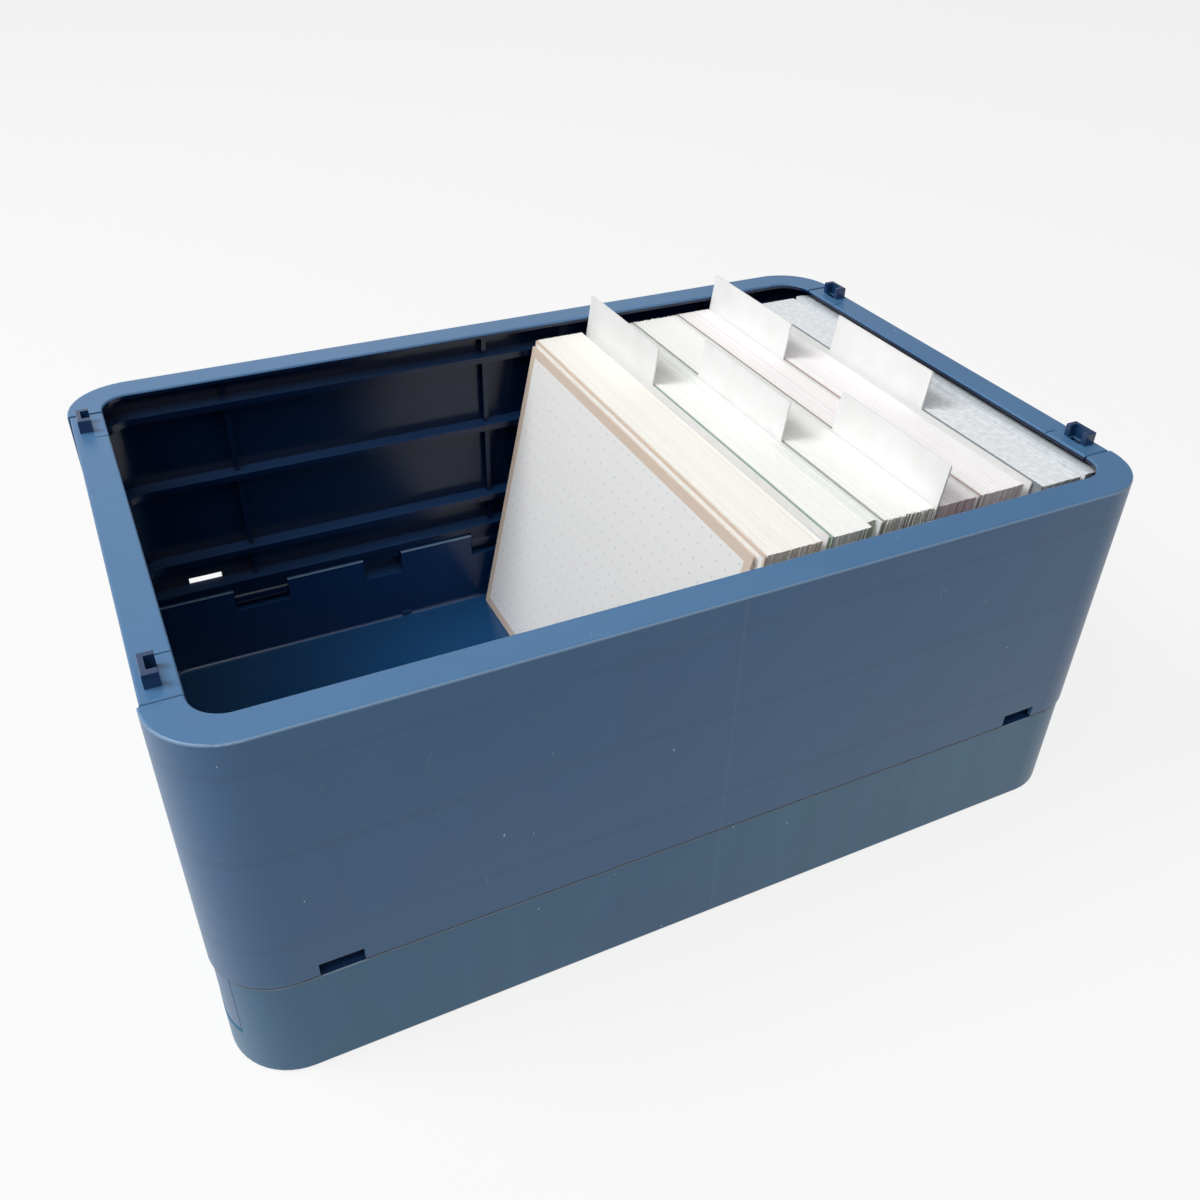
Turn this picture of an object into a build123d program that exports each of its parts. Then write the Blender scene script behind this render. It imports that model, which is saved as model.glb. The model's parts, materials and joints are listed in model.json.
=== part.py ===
from build123d import *

import math
import os

# A folding flashcard box with its walls standing: a base tray, two long walls that carry the
# rounded corners, two end walls with rim hooks, and index cards with tab dividers inside.
# Millimetres. X runs along the box, Y away from the front wall, Z up. The origin is the middle of
# the underside. All the cards lean towards the right end wall.

# Cards that the box is made for, and the room around them
card_length = 148.0
card_height = 105.0
side_room = 12.8
head_room = 3.9

# Outer form
box_length = 270.0
corner_radius = 18.1
seam_gap = 0.6
tray_seam_gap = 0.8

# Base tray
base_height = 34.7
base_inset = 0.4
base_side_wall = 8.2
base_end_wall = 6.8
base_foot_round = 1.5
base_top_round = 0.5
floor_top = 5.7
floor_thickness = 2.7
floor_round = 1.5
foot_ring_width = 6.0
sill_height = 13.1
nub_width = 3.6
nub_depth = 1.0
nub_height = 1.8
nub_spacing = 37.4

# Folding walls and their rim
wall = 2.4
rim_width = 9.7
rim_thickness = 1.6
rim_round = 0.6
corner_return = 0.6
rib_depth = 5.9
rib_thickness = 2.2
upright_rib_depth = 3.0
upright_rib_thickness = 1.6
rib_level_shares = (0.185, 0.5525, 0.884)
window_width = 11.2
window_height = 4.1
window_corner_gap = 5.3

# Hinges of the long walls, in pockets of the tray's side walls
side_hinge_spacing = 88.9
pocket_width = 19.0
pocket_floor = 25.6
pocket_skin = 2.0
knuckle_gap = 0.4
knuckle_web = 4.0
side_barrel_radius = 2.8
side_barrel_gap = 0.4
side_barrel_lift = 1.2
side_pin_radius = 1.6
side_pin_length = 2.4
keeper_spacing = 44.3
keeper_notch_width = 14.6
keeper_gap = 0.5
keeper_drop = 2.6

# End walls and their hinges
end_inset = 0.6
end_rib_depth = 2.9
lap_width = 4.0
lap_root = 5.0
lap_clearance = 1.6
sill_gap = 0.8
end_hinge_inset = 6.9
end_barrel_radius = 2.8
end_pin_radius = 1.8
end_pin_length = 2.0
pin_clearance = 0.05
socket_end_gap = 0.2

# Hooks on the rim of each end wall
hook_offset = 8.2
hook_length = 8.0
hook_depth = 3.6
hook_inset = 1.8
hook_spine = 1.3
hook_arm = 1.6
hook_height = 4.0
hook_round = 0.3
witness_offset = 15.6
witness_width = 0.4
witness_depth = 0.5

# Cards and dividers, from the front of the stack to the back
front_card_length = 143.8
single_card_thickness = 0.5
pack_1_thickness = 16.6
pack_2_thickness = 12.4
short_cards_thickness = 2.7
short_cards_length = 146.4
pack_3_thickness = 16.9
pack_4_thickness = 12.8
pack_5_thickness = 15.6
pack_6_thickness = 14.4
rear_cards_thickness = 5.0
divider_thickness = 0.5
tab_height = 12.7
tab_round = 0.5
tab_length_share = 1 / 3
far_tab_share = 0
middle_tab_share = 1 / 3
near_tab_share = 2 / 3
front_lean_angle = 12.0
stack_lean_angle = 8.0
rear_lean_angle = 2.6
card_seat_gap = 0.2
card_rim_gap = 0.5
front_card_shift = 2.6
pack_1_shift = 1.2
pack_2_shift = 0.9
pack_6_shift = 3.4
rear_cards_shift = 4.2
front_card_gap = 1.2
next_card_gap = 0.3
wide_gap = 2.6
narrow_gap = 0.6
divider_back_gap = 0.5
rear_cards_gap = 0.6
rear_wall_gap = 0.8

# How far each cutting tool runs past what it cuts
overrun = 5.0

# Sizes that follow from those above
tray_width = card_length + side_room
base_width = tray_width + 2 * base_side_wall
box_width = base_width + 2 * base_inset
box_height = floor_top + card_height + head_room
base_length = box_length - 2 * base_inset
base_corner_radius = corner_radius - base_inset
tray_length = base_length - 2 * base_end_wall
tray_corner_radius = base_corner_radius - base_side_wall
half_length = box_length / 2
half_width = box_width / 2
tray_edge_y = tray_width / 2

wall_foot = base_height + tray_seam_gap
wall_height = box_height - wall_foot
rim_underside = box_height - rim_thickness
rib_levels = [wall_foot + wall_height * share for share in rib_level_shares]
skin_inner_y = half_width - wall
seam_y = half_width - corner_radius - corner_return
window_x = half_length - corner_radius - window_corner_gap - window_width / 2

side_hinge_xs = (-side_hinge_spacing, 0, side_hinge_spacing)
side_axis_y = tray_edge_y + side_barrel_gap + side_barrel_radius
side_axis_z = pocket_floor + side_barrel_lift + side_barrel_radius
knuckle_width = pocket_width - 2 * knuckle_gap
pocket_edge_y = base_width / 2 - pocket_skin

end_face_x = half_length - end_inset
end_inner_x = end_face_x - wall
rim_edge_x = half_length - rim_width
end_edge_y = seam_y - seam_gap
foot_edge_y = tray_edge_y - seam_gap
end_foot = sill_height + sill_gap
end_axis_x = end_face_x - end_hinge_inset
end_axis_z = end_foot + end_barrel_radius

os.makedirs("parts", exist_ok=True)


def span_box(x_span, y_span, z_span, mode=Mode.ADD):
    """A block between two planes each way, joined to or cut from the active part."""
    spans = (x_span, y_span, z_span)
    middle = tuple((first + last) / 2 for first, last in spans)
    with Locations(middle):
        Box(*[abs(last - first) for first, last in spans], mode=mode)


def box_outline(inset, mode=Mode.ADD):
    """The rounded outline of the box, drawn in from its outer face by an even margin."""
    RectangleRounded(box_length - 2 * inset, box_width - 2 * inset, corner_radius - inset, mode=mode)


def keep_beyond(y_edge):
    """Keep only what the active sketch has on the far side of a line along the box."""
    with Locations((0, y_edge)):
        Rectangle(box_length, box_width, align=(Align.CENTER, Align.MIN), mode=Mode.INTERSECT)


def keep_right_end(x_edge, y_edge):
    """Keep only what the active sketch has at the right end, between two lines along the box."""
    with Locations((x_edge, 0)):
        Rectangle(box_length, 2 * y_edge, align=(Align.MIN, Align.CENTER), mode=Mode.INTERSECT)


# Base tray: a floor on a foot ring, thick side walls with hinge pockets, and a low sill at each end
with BuildPart() as base_tray:
    with BuildSketch():
        RectangleRounded(base_length, base_width, base_corner_radius)
    extrude(amount=base_height)
    fillet(base_tray.edges().group_by(Axis.Z)[0], base_foot_round)
    fillet(base_tray.edges().group_by(Axis.Z)[-1], base_top_round)
    with BuildSketch(Plane.XY.offset(floor_top)):
        RectangleRounded(tray_length, tray_width, tray_corner_radius)
    extrude(amount=base_height, mode=Mode.SUBTRACT)
    fillet(base_tray.edges().filter_by_position(Axis.Z, floor_top, floor_top), floor_round)
    with BuildSketch():
        box_outline(base_inset + foot_ring_width)
    extrude(amount=floor_top - floor_thickness, mode=Mode.SUBTRACT)
    for side in (-1, 1):
        # The end is open above its sill, where the end wall's foot stands and turns
        notch_start_x = tray_length / 2 - tray_corner_radius
        span_box(
            (side * notch_start_x, side * (half_length + overrun)),
            (-tray_edge_y, tray_edge_y),
            (sill_height, base_height + overrun),
            mode=Mode.SUBTRACT,
        )
        for hand in (-1, 1):
            socket_depth = end_pin_length + socket_end_gap + seam_gap
            with Locations((side * end_axis_x, hand * (foot_edge_y + socket_depth / 2), end_axis_z)):
                Cylinder(
                    end_pin_radius + pin_clearance, socket_depth, rotation=(90, 0, 0), mode=Mode.SUBTRACT
                )
        # Hinge pockets with a socket at each side, and the notches of the two keepers
        pocket_y = (side * (tray_edge_y - overrun), side * pocket_edge_y)
        for x in side_hinge_xs:
            pocket_x = (x - pocket_width / 2, x + pocket_width / 2)
            span_box(pocket_x, pocket_y, (pocket_floor, base_height + overrun), mode=Mode.SUBTRACT)
            socket_length = knuckle_width + 2 * (side_pin_length + socket_end_gap)
            with Locations((x, side * side_axis_y, side_axis_z)):
                Cylinder(
                    side_pin_radius + pin_clearance, socket_length, rotation=(0, 90, 0), mode=Mode.SUBTRACT
                )
        for x in (-keeper_spacing, keeper_spacing):
            notch_x = (x - keeper_notch_width / 2, x + keeper_notch_width / 2)
            span_box(notch_x, pocket_y, (pocket_floor, base_height + overrun), mode=Mode.SUBTRACT)
        # Moulded nubs where the floor meets the side wall
        for x in (-nub_spacing, nub_spacing):
            span_box(
                (x - nub_width / 2, x + nub_width / 2),
                (side * (tray_edge_y - nub_depth), side * (tray_edge_y + nub_depth)),
                (floor_top - floor_thickness / 2, floor_top + nub_height),
            )
base_tray.part.label = "base_tray"

# Back wall: a shell with both far corners, a rim, ribs that follow the corners, and hinge knuckles
with BuildPart() as back_wall:
    with BuildSketch(Plane.XY.offset(wall_foot)):
        box_outline(0)
        box_outline(wall, mode=Mode.SUBTRACT)
        keep_beyond(seam_y)
    extrude(amount=wall_height)
    with BuildSketch(Plane.XY.offset(rim_underside)):
        box_outline(0)
        box_outline(rim_width, mode=Mode.SUBTRACT)
        keep_beyond(seam_y)
    extrude(amount=rim_thickness)
    rim_edges = back_wall.edges().group_by(Axis.Z)[-1]
    fillet(rim_edges.filter_by_position(Axis.Y, seam_y, box_width, inclusive=(False, True)), rim_round)
    # The lowest rib stops short of the corners, to leave room above the end walls' feet
    rib_starts = {level: end_edge_y + lap_width + lap_clearance for level in rib_levels}
    rib_starts[wall_foot + rib_thickness] = tray_edge_y
    for level, start_y in rib_starts.items():
        with BuildSketch(Plane.XY.offset(level - rib_thickness)):
            box_outline(wall / 2)
            box_outline(wall + rib_depth, mode=Mode.SUBTRACT)
            keep_beyond(start_y)
        extrude(amount=rib_thickness)
    for x in side_hinge_xs:
        span_box(
            (x - upright_rib_thickness / 2, x + upright_rib_thickness / 2),
            (skin_inner_y - upright_rib_depth, half_width - wall / 2),
            (wall_foot, box_height - rim_thickness / 2),
        )
        # The knuckle hangs into its pocket and carries a round barrel with a pin at each end
        span_box(
            (x - knuckle_width / 2, x + knuckle_width / 2),
            (side_axis_y - knuckle_web / 2, side_axis_y + knuckle_web / 2),
            (side_axis_z, wall_foot + rib_thickness / 2),
        )
        with Locations((x, side_axis_y, side_axis_z)):
            Cylinder(side_barrel_radius, knuckle_width, rotation=(0, 90, 0))
            Cylinder(side_pin_radius, knuckle_width + 2 * side_pin_length, rotation=(0, 90, 0))
    for x in (-keeper_spacing, keeper_spacing):
        keeper_width = keeper_notch_width - 2 * keeper_gap
        span_box(
            (x - keeper_width / 2, x + keeper_width / 2),
            (side_axis_y - knuckle_web / 2, side_axis_y + knuckle_web / 2),
            (base_height - keeper_drop, wall_foot + rib_thickness / 2),
        )
    # Each window goes through the skin alone, so the lowest rib closes its lower half from inside
    for x in (-window_x, window_x):
        span_box(
            (x - window_width / 2, x + window_width / 2),
            (skin_inner_y, half_width + overrun),
            (wall_foot - overrun, wall_foot + window_height),
            mode=Mode.SUBTRACT,
        )
back_wall.part.label = "back_wall"

with BuildPart() as front_wall:
    mirror(back_wall.part, about=Plane.XZ)
front_wall.part.label = "front_wall"

# Right end wall: a plate between the corners on a wider foot, which turns on a barrel at its sill
with BuildPart() as right_end_wall:
    span_box((end_inner_x, end_face_x), (-end_edge_y, end_edge_y), (end_foot, box_height))
    span_box((rim_edge_x, end_face_x), (-end_edge_y, end_edge_y), (rim_underside, box_height))
    fillet(right_end_wall.edges().group_by(Axis.Z)[-1], rim_round)
    with BuildSketch(Plane.XY.offset(end_foot)):
        box_outline(end_inset)
        box_outline(end_inset + wall, mode=Mode.SUBTRACT)
        keep_right_end(0, foot_edge_y)
    extrude(amount=base_height - end_foot)
    with BuildSketch(Plane.XY.offset(end_foot)):
        box_outline(end_inset)
        keep_right_end(end_axis_x, foot_edge_y)
    extrude(amount=2 * end_barrel_radius)
    with Locations((end_axis_x, 0, end_axis_z)):
        Cylinder(end_barrel_radius, 2 * foot_edge_y, rotation=(90, 0, 0))
        Cylinder(end_pin_radius, 2 * (foot_edge_y + end_pin_length), rotation=(90, 0, 0))
    for level in rib_levels:
        span_box(
            (end_inner_x - end_rib_depth, end_inner_x + wall / 2),
            (-end_edge_y, end_edge_y),
            (level - rib_thickness, level),
        )
    for side in (-1, 1):
        # A lap along each edge rests behind the corner, and stops the wall from falling outwards
        span_box(
            (end_inner_x - wall, end_inner_x),
            (side * (end_edge_y - lap_root), side * (end_edge_y + lap_width)),
            (rib_levels[0] - rib_thickness, rib_levels[-1]),
        )
        # Rim hook: a spine with two arms that point inwards, and a hole through the rim between them
        hook_y = side * (end_edge_y - hook_offset)
        hook_outer_x = end_face_x - hook_inset
        hook_inner_x = hook_outer_x - hook_depth
        hook_top = box_height + hook_height
        span_box(
            (hook_inner_x, hook_outer_x),
            (hook_y - hook_length / 2, hook_y + hook_length / 2),
            (rim_underside, hook_top),
        )
        fillet(right_end_wall.faces().sort_by(Axis.Z)[-1].edges(), hook_round)
        hole_half_length = hook_length / 2 - hook_arm
        span_box(
            (hook_inner_x - overrun, hook_outer_x - hook_spine),
            (hook_y - hole_half_length, hook_y + hole_half_length),
            (box_height, hook_top + overrun),
            mode=Mode.SUBTRACT,
        )
        span_box(
            (hook_inner_x, hook_outer_x - hook_spine),
            (hook_y - hole_half_length, hook_y + hole_half_length),
            (rim_underside - overrun, box_height + overrun),
            mode=Mode.SUBTRACT,
        )
        witness_y = side * (end_edge_y - witness_offset)
        span_box(
            (rim_edge_x - overrun, hook_inner_x),
            (witness_y - witness_width / 2, witness_y + witness_width / 2),
            (box_height - witness_depth, box_height + overrun),
            mode=Mode.SUBTRACT,
        )
right_end_wall.part.label = "right_end_wall"

with BuildPart() as left_end_wall:
    mirror(right_end_wall.part, about=Plane.YZ)
left_end_wall.part.label = "left_end_wall"

for piece in (base_tray, back_wall, front_wall, right_end_wall, left_end_wall):
    export_step(piece.part, f"parts/{piece.part.label}.step")

# The stack of cards: name, thickness, gap to what stands behind it, lean, and how far it stands away from
# the back wall's rim. All that lifts out leans alike, so that nothing binds on its neighbours on the way
# up; only the front card leans further. The last cards stand off more, clear of the rounded corners.
stack = [
    ("dot_grid_card", single_card_thickness, front_card_gap, front_lean_angle, front_card_shift),
    ("tan_border_card", single_card_thickness, next_card_gap, stack_lean_angle, pack_1_shift),
    ("card_pack_1", pack_1_thickness, wide_gap, stack_lean_angle, pack_1_shift),
    ("tab_divider_1", divider_thickness, divider_back_gap, stack_lean_angle, 0),
    ("card_pack_2", pack_2_thickness, next_card_gap, stack_lean_angle, pack_2_shift),
    ("short_cards", short_cards_thickness, narrow_gap, stack_lean_angle, 0),
    ("tab_divider_2", divider_thickness, divider_back_gap, stack_lean_angle, 0),
    ("card_pack_3", pack_3_thickness, narrow_gap, stack_lean_angle, 0),
    ("tab_divider_3", divider_thickness, divider_back_gap, stack_lean_angle, 0),
    ("card_pack_4", pack_4_thickness, narrow_gap, stack_lean_angle, 0),
    ("tab_divider_4", divider_thickness, divider_back_gap, stack_lean_angle, 0),
    ("card_pack_5", pack_5_thickness, wide_gap, stack_lean_angle, 0),
    ("tab_divider_5", divider_thickness, divider_back_gap, stack_lean_angle, 0),
    ("card_pack_6", pack_6_thickness, rear_cards_gap, stack_lean_angle, pack_6_shift),
    ("rear_cards", rear_cards_thickness, rear_wall_gap, rear_lean_angle, rear_cards_shift),
]
own_lengths = {"dot_grid_card": front_card_length, "short_cards": short_cards_length}
flat_cards = ("dot_grid_card", "tan_border_card")
tab_shares = {
    "tab_divider_1": far_tab_share,
    "tab_divider_2": middle_tab_share,
    "tab_divider_3": near_tab_share,
    "tab_divider_4": far_tab_share,
    "tab_divider_5": middle_tab_share,
}
card_foot = floor_top + card_seat_gap

# The stack is laid from the end wall's ribs forwards, each piece a gap ahead of the last at its top
top_x = end_inner_x - end_rib_depth
for name, thickness, gap, lean_angle, shift in reversed(stack):
    lean = math.radians(lean_angle)
    length = own_lengths.get(name, card_length)
    far_y = half_width - rim_width - card_rim_gap - shift
    section_width = thickness / math.cos(lean)
    top_x -= gap + section_width
    foot_x = top_x - card_height * math.sin(lean)
    with BuildPart() as card:
        if name not in tab_shares and name not in flat_cards:
            # Every card of a pack stands on the floor, so a leaning pack is level at top and bottom
            card_top = card_foot + card_height * math.cos(lean)
            with BuildSketch(Plane.XZ.offset(-far_y)):
                with BuildLine():
                    Polyline(
                        (foot_x, card_foot),
                        (foot_x + section_width, card_foot),
                        (top_x + section_width, card_top),
                        (top_x, card_top),
                        close=True,
                    )
                make_face()
            extrude(amount=length)
        else:
            card_plane = Plane(
                origin=(foot_x, far_y, card_foot),
                x_dir=(0, -1, 0),
                z_dir=(-math.cos(lean), 0, math.sin(lean)),
            )
            with BuildSketch(card_plane):
                Rectangle(length, card_height, align=Align.MIN)
                if name in tab_shares:
                    with Locations((length * tab_shares[name], card_height - tab_round)):
                        Rectangle(length * tab_length_share, tab_height + tab_round, align=Align.MIN)
            extrude(amount=-thickness)
            if name in tab_shares:
                tab_top = card.faces().sort_by(Axis.Z)[-1]
                fillet(tab_top.edges().filter_by(Axis.Y, reverse=True), tab_round)
    card.part.label = name
    export_step(card.part, f"parts/{name}.step")
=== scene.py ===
"""Looks of a folding flashcard box: navy moulded walls on a base tray, and a leaning stack of cards.

The moulded pieces keep their solids and get a plastic finish. The packs become stacks of single cards, and
the single cards and dividers become thin slabs with rounded corners and their print.
"""
import json
import logging
import math
from dataclasses import dataclass, replace
from enum import Enum
from typing import Any

import bmesh
import bpy
from mathutils import Matrix, Vector


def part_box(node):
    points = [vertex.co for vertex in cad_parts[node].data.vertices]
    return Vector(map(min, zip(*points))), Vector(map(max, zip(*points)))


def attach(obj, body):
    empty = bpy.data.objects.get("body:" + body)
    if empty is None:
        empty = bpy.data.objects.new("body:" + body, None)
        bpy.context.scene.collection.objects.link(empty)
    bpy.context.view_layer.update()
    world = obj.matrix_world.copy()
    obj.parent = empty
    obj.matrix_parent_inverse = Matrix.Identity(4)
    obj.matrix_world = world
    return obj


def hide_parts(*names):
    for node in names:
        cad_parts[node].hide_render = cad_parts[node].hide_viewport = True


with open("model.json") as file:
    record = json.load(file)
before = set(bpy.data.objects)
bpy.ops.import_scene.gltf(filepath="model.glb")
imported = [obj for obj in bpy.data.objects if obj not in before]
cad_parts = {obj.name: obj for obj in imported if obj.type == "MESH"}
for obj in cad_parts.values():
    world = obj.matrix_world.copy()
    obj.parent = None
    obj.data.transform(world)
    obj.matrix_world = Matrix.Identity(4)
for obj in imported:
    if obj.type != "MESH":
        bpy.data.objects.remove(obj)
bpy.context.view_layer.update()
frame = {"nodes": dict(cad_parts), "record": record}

LOG = logging.getLogger("flashcard_box")

Tree = bpy.types.NodeTree
Socket = bpy.types.NodeSocket

# One millimetre in the frame's metres
MM = 0.001

# The stack, with the leans and sheet sizes of the solids
CARD_HEIGHT = 105.0 * MM
SHEET_THICKNESS = 0.5 * MM
STACK_LEAN = math.radians(8.0)
FRONT_LEAN = math.radians(12.0)
REAR_LEAN = math.radians(2.6)

# Each tab takes a third of its divider's top edge
TAB_SHARE = 1 / 3

# A span of heights that no piece has, for a finish without what the span would mark
NOWHERE_MM = (-2.0, -1.0)

WHITE = "#FFFFFF"


class TabPlace(Enum):
    """Which third of a divider's top edge its tab takes, as the share of the length left beyond it."""

    FAR = 0.0
    MIDDLE = TAB_SHARE
    NEAR = 2 * TAB_SHARE


def linear(hex_colour: str) -> tuple[float, float, float, float]:
    """Turn an sRGB hex colour into linear red, green, blue and alpha.

    Args:
        hex_colour: Six hex digits after a hash sign.

    Returns:
        Linear colour values, with an alpha of one.
    """
    channels = (int(hex_colour[place:place + 2], 16) / 255 for place in (1, 3, 5))
    red, green, blue = (c / 12.92 if c <= 0.04045 else ((c + 0.055) / 1.055) ** 2.4 for c in channels)
    return red, green, blue, 1.0


def add_node(
    tree: Tree,
    kind: str,
    inputs: dict[Any, Any] | None = None,
    stops: tuple[tuple[float, str], ...] = (),
    **settings: Any,
) -> bpy.types.Node:
    """Add a node to a tree, with its settings, and set or link its inputs.

    Args:
        tree: The node tree that gets the node.
        kind: The node's type name.
        inputs: Input names or numbers, each with a value or with the output socket that feeds it.
        stops: A colour ramp's places from 0 to 1, each with its hex colour.
        **settings: Properties of the node itself.

    Returns:
        The new node.
    """
    node = tree.nodes.new(kind)
    for name, value in settings.items():
        setattr(node, name, value)
    for key, value in (inputs or {}).items():
        if isinstance(value, Socket):
            tree.links.new(value, node.inputs[key])
        else:
            node.inputs[key].default_value = value
    for index, (place, hex_colour) in enumerate(stops):
        elements = node.color_ramp.elements
        element = elements[index] if index < len(elements) else elements.new(place)
        element.position = place
        element.color = linear(hex_colour)
    return node


def new_material(name: str) -> tuple[bpy.types.Material, Tree]:
    """Make an empty node material.

    Args:
        name: The material's name.

    Returns:
        The material and its tree.
    """
    material = bpy.data.materials.new(name)
    material.use_nodes = True
    material.node_tree.nodes.clear()
    return material, material.node_tree


@dataclass(frozen=True)
class MouldedPlastic:
    """Polypropylene, injection moulded and dyed through.

    The outside comes off an etched mould, so it scatters light and looks paler. The inside, the hooks and the
    narrow edges at the seam come off steel with a mirror polish, so they mirror what stands near; their near
    black is painted shade. The upward faces inside, the tray's floor and its top edge get painted light.
    Thick ribs leave faint sink marks on the other side, painted as shade, the rim's pale outer edge is a
    painted highlight, and handling leaves dust and fine scratches.
    """

    name: str
    outside_hex: str
    cloud_hex: str
    # Near black inside colour: painted shade inside the box, on the hooks and in the seam gap
    shaded_inside_hex: str
    inside_depth_mm: float
    inside_heights_mm: tuple[float, float]
    # Heights where the outside also takes the near black: painted shadow of the seam gap
    seam_shadow_heights_mm: tuple[float, float]
    dust_share: float
    # A band over the glossy sides: a painted highlight on the tray's top edge, a paler painted shade on the
    # hooks
    painted_light_band_heights_mm: tuple[float, float] = NOWHERE_MM
    painted_light_band_hex: str = "#1B3A62"
    # A paler band at the floor: painted light from above
    floor_heights_mm: tuple[float, float] = NOWHERE_MM
    floor_hex: str = "#1C4C7C"
    # Upward faces inside are paler: painted light from above
    lit_ledge_hex: str = "#1F3F6B"
    ledge_facing: float = 0.8
    # The hooks take the glossy sides' near black: painted shade
    hook_heights_mm: tuple[float, float] = (114.75, 130.0)
    # A pale line along the rim's outer edge: painted highlight
    rim_highlight_hex: str = "#A9C3DC"
    rim_highlight_strength: float = 0.42
    rim_highlight_heights_mm: tuple[float, float] = (113.95, 114.7)
    rim_highlight_mm: float = 0.28
    corner_radius_mm: float = 18.1
    ior: float = 1.49
    roughness: float = 0.36
    roughness_spread: tuple[float, float] = (-0.05, 0.07)
    polished_roughness: float = 0.2
    haze_mm: float = 35.0
    grain_mm: float = 0.7
    grain_strength: float = 0.05
    grain_depth_mm: float = 0.2
    cloud_mm: float = 70.0
    cloud_span: tuple[float, float] = (0.35, 0.7)
    streak_mm: float = 9.0
    streak_stretch: float = 0.03
    streak_strength: float = 0.05
    # Soft dark lines at the rib heights: painted shade of the sink marks' shallow dips
    sink_levels_mm: tuple[float, ...] = ()
    sink_shade_hex: str = "#F6F6F6"
    sink_half_mm: float = 2.0
    sink_range_mm: float = 120.0
    dust_hex: str = "#DCE4EA"
    speck_mm: float = 0.24
    speck_cell_mm: float = 5.0
    speck_stretch: float = 0.4
    speck_turn: tuple[float, float, float] = (0.6, 0.4, 0.5)
    scratch_mm: float = 14.0
    scratch_stretch: float = 0.3
    scratch_turn: tuple[float, float, float] = (0.4, 0.7, 0.2)
    scratch_level: float = 0.5
    scratch_width: float = 0.0007
    scratch_strength: float = 0.12
    patches_per_scratch: float = 1.7
    patch_level: float = 0.63
    joint_mm: float = 1.0
    joint_strength: float = 0.025
    joint_heights_mm: tuple[float, float] = (0.0, 113.5)

    @staticmethod
    def band(tree: Tree, height: Socket, heights_mm: tuple[float, float]) -> Socket:
        """Tell whether a height lies in a span.

        Args:
            tree: The finish's node tree.
            height: The socket that gives the height in metres.
            heights_mm: The lowest and highest height of the span.

        Returns:
            A socket that is one in the span and zero outside it.
        """
        low, high = heights_mm
        span = {0: height, 1: (low + high) / 2 * MM, 2: (high - low) / 2 * MM}
        return add_node(tree, "ShaderNodeMath", span, operation="COMPARE").outputs[0]

    def plan_reach(self, tree: Tree, place: Socket) -> Socket:
        """Measure in plan how far a place lies from the middle of the box, as its rounded corners do.

        Args:
            tree: The finish's node tree.
            place: The socket that gives the place on the piece.

        Returns:
            A socket in metres that equals the corner radius all along the box's outline.
        """
        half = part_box("back_wall")[1]
        radius = self.corner_radius_mm * MM
        centre = (half[0] - radius, half[1] - radius, 0.0)
        reach = place
        for operation, other in (
            ("ABSOLUTE", None), ("SUBTRACT", centre), ("MAXIMUM", (0, 0, 0)), ("MULTIPLY", (1, 1, 0)),
        ):
            inputs = {0: reach} if other is None else {0: reach, 1: other}
            reach = add_node(tree, "ShaderNodeVectorMath", inputs, operation=operation).outputs[0]
        length = add_node(tree, "ShaderNodeVectorMath", {0: reach}, operation="LENGTH")
        return length.outputs["Value"]

    def specks(self, tree: Tree, place: Socket) -> Socket:
        """Scatter dust: one speck in some of the cells of a grid, drawn out a little like lint.

        Args:
            tree: The finish's node tree.
            place: The socket that gives the place on the piece.

        Returns:
            A socket that is one on a speck.
        """
        drawn = add_node(
            tree, "ShaderNodeMapping",
            {"Vector": place, "Scale": (1.0, 1.0, self.speck_stretch), "Rotation": self.speck_turn},
        )
        cells = add_node(
            tree, "ShaderNodeTexVoronoi",
            {"Vector": drawn.outputs[0], "Scale": 1 / (self.speck_cell_mm * MM)},
        )
        chance = add_node(tree, "ShaderNodeSeparateColor", {"Color": cells.outputs["Color"]})
        reach = add_node(
            tree, "ShaderNodeMath",
            {0: chance.outputs["Green"], 1: self.speck_mm / self.speck_cell_mm}, operation="MULTIPLY",
        )
        near = add_node(
            tree, "ShaderNodeMath", {0: cells.outputs["Distance"], 1: reach.outputs[0]}, operation="LESS_THAN"
        )
        chosen = add_node(
            tree, "ShaderNodeMath", {0: chance.outputs["Red"], 1: self.dust_share}, operation="LESS_THAN"
        )
        speck = add_node(
            tree, "ShaderNodeMath", {0: near.outputs[0], 1: chosen.outputs[0]}, operation="MULTIPLY"
        )
        return speck.outputs[0]

    def scratches(self, tree: Tree, place: Socket) -> Socket:
        """Draw hairline scratches: thin level lines of a stretched noise, which a second noise breaks up.

        Args:
            tree: The finish's node tree.
            place: The socket that gives the place on the piece.

        Returns:
            A socket with the strength of the scratches.
        """
        drawn = add_node(
            tree, "ShaderNodeMapping",
            {"Vector": place, "Scale": (1.0, 1.0, self.scratch_stretch), "Rotation": self.scratch_turn},
        )
        wander = add_node(
            tree, "ShaderNodeTexNoise",
            {"Vector": drawn.outputs[0], "Scale": 1 / (self.scratch_mm * MM), "Detail": 2.0},
        )
        line = add_node(
            tree, "ShaderNodeMath",
            {0: wander.outputs["Fac"], 1: self.scratch_level, 2: self.scratch_width}, operation="COMPARE",
        )
        patches = add_node(
            tree, "ShaderNodeTexNoise",
            {"Vector": place, "Scale": self.patches_per_scratch / (self.scratch_mm * MM), "Detail": 0.0},
        )
        patch = add_node(
            tree, "ShaderNodeMath", {0: patches.outputs["Fac"], 1: self.patch_level}, operation="GREATER_THAN"
        )
        scratch = add_node(
            tree, "ShaderNodeMath", {0: line.outputs[0], 1: patch.outputs[0]}, operation="MULTIPLY"
        )
        faint = add_node(
            tree, "ShaderNodeMath", {0: scratch.outputs[0], 1: self.scratch_strength}, operation="MULTIPLY"
        )
        return faint.outputs[0]

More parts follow.
